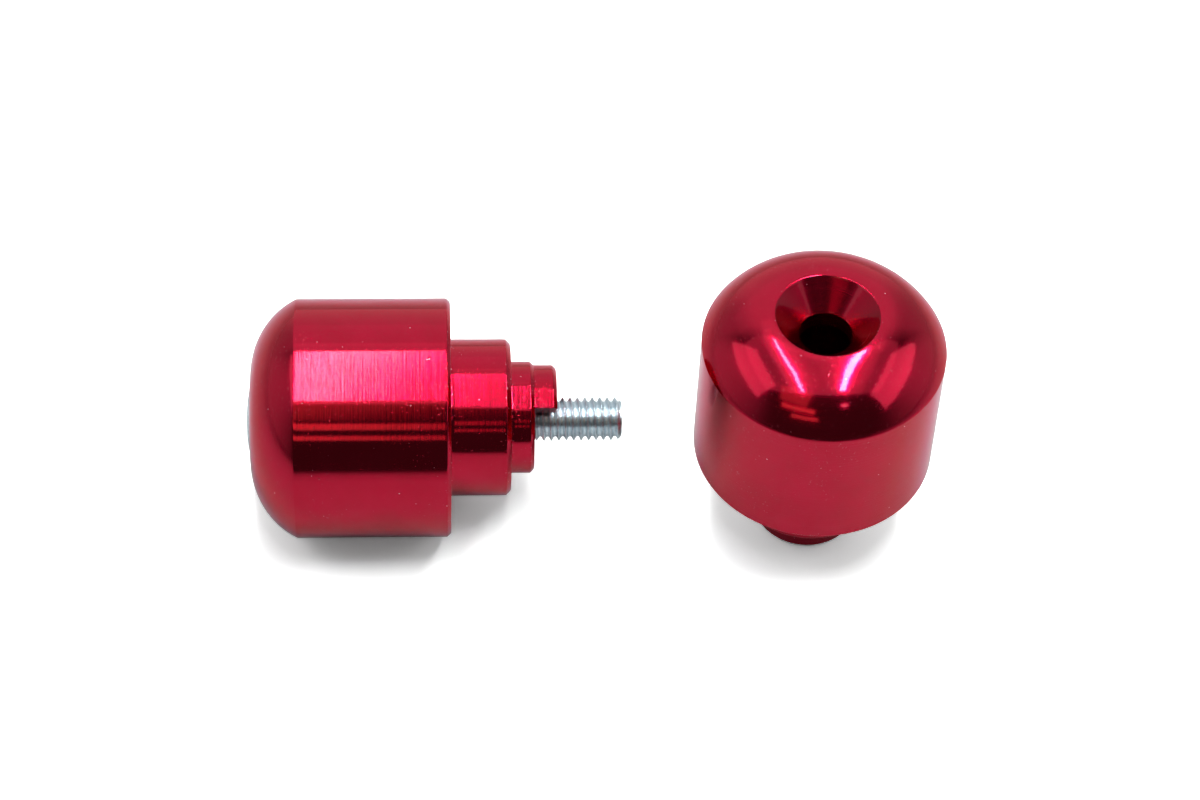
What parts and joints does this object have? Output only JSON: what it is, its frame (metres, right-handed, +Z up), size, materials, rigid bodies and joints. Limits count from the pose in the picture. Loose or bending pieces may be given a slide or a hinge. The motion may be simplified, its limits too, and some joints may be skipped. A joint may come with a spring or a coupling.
{
  "type": "bar end weights",
  "caption": "Turned aluminium handlebar end weights with domed noses, stepped spigots and half-moon tangs, one lying with its countersunk screw, one standing.",
  "frame": {"origin": "on the surface the pair rests on, under the middle of the pair's bounding box", "axes": "+Z up, along the standing bar end's axis from tang to dome; +X along the lying bar end's axis from dome to tang"},
  "size_m": [0.0916, 0.0352, 0.0407],
  "materials": {
    "red_anodised_aluminium": "glossy red anodised over fine turning lines",
    "zinc_plated_steel": "bright blue-white zinc plating"
  },
  "bodies": {
    "lying_bar_end": {"lying_bar_end": "red_anodised_aluminium"},
    "screw": {"countersunk_screw": "zinc_plated_steel"},
    "standing_bar_end": {"standing_bar_end": "red_anodised_aluminium"}
  },
  "joints": [
    {"name": "screw_slide", "type": "slide", "parent": "lying_bar_end", "child": "screw", "axis": [-1, 0, 0], "range_m": [0, 0.055]},
    {"name": "standing_lift", "type": "slide", "parent": "lying_bar_end", "child": "standing_bar_end", "axis": [0, 0, 1], "range_m": [0, 0.06]}
  ]
}
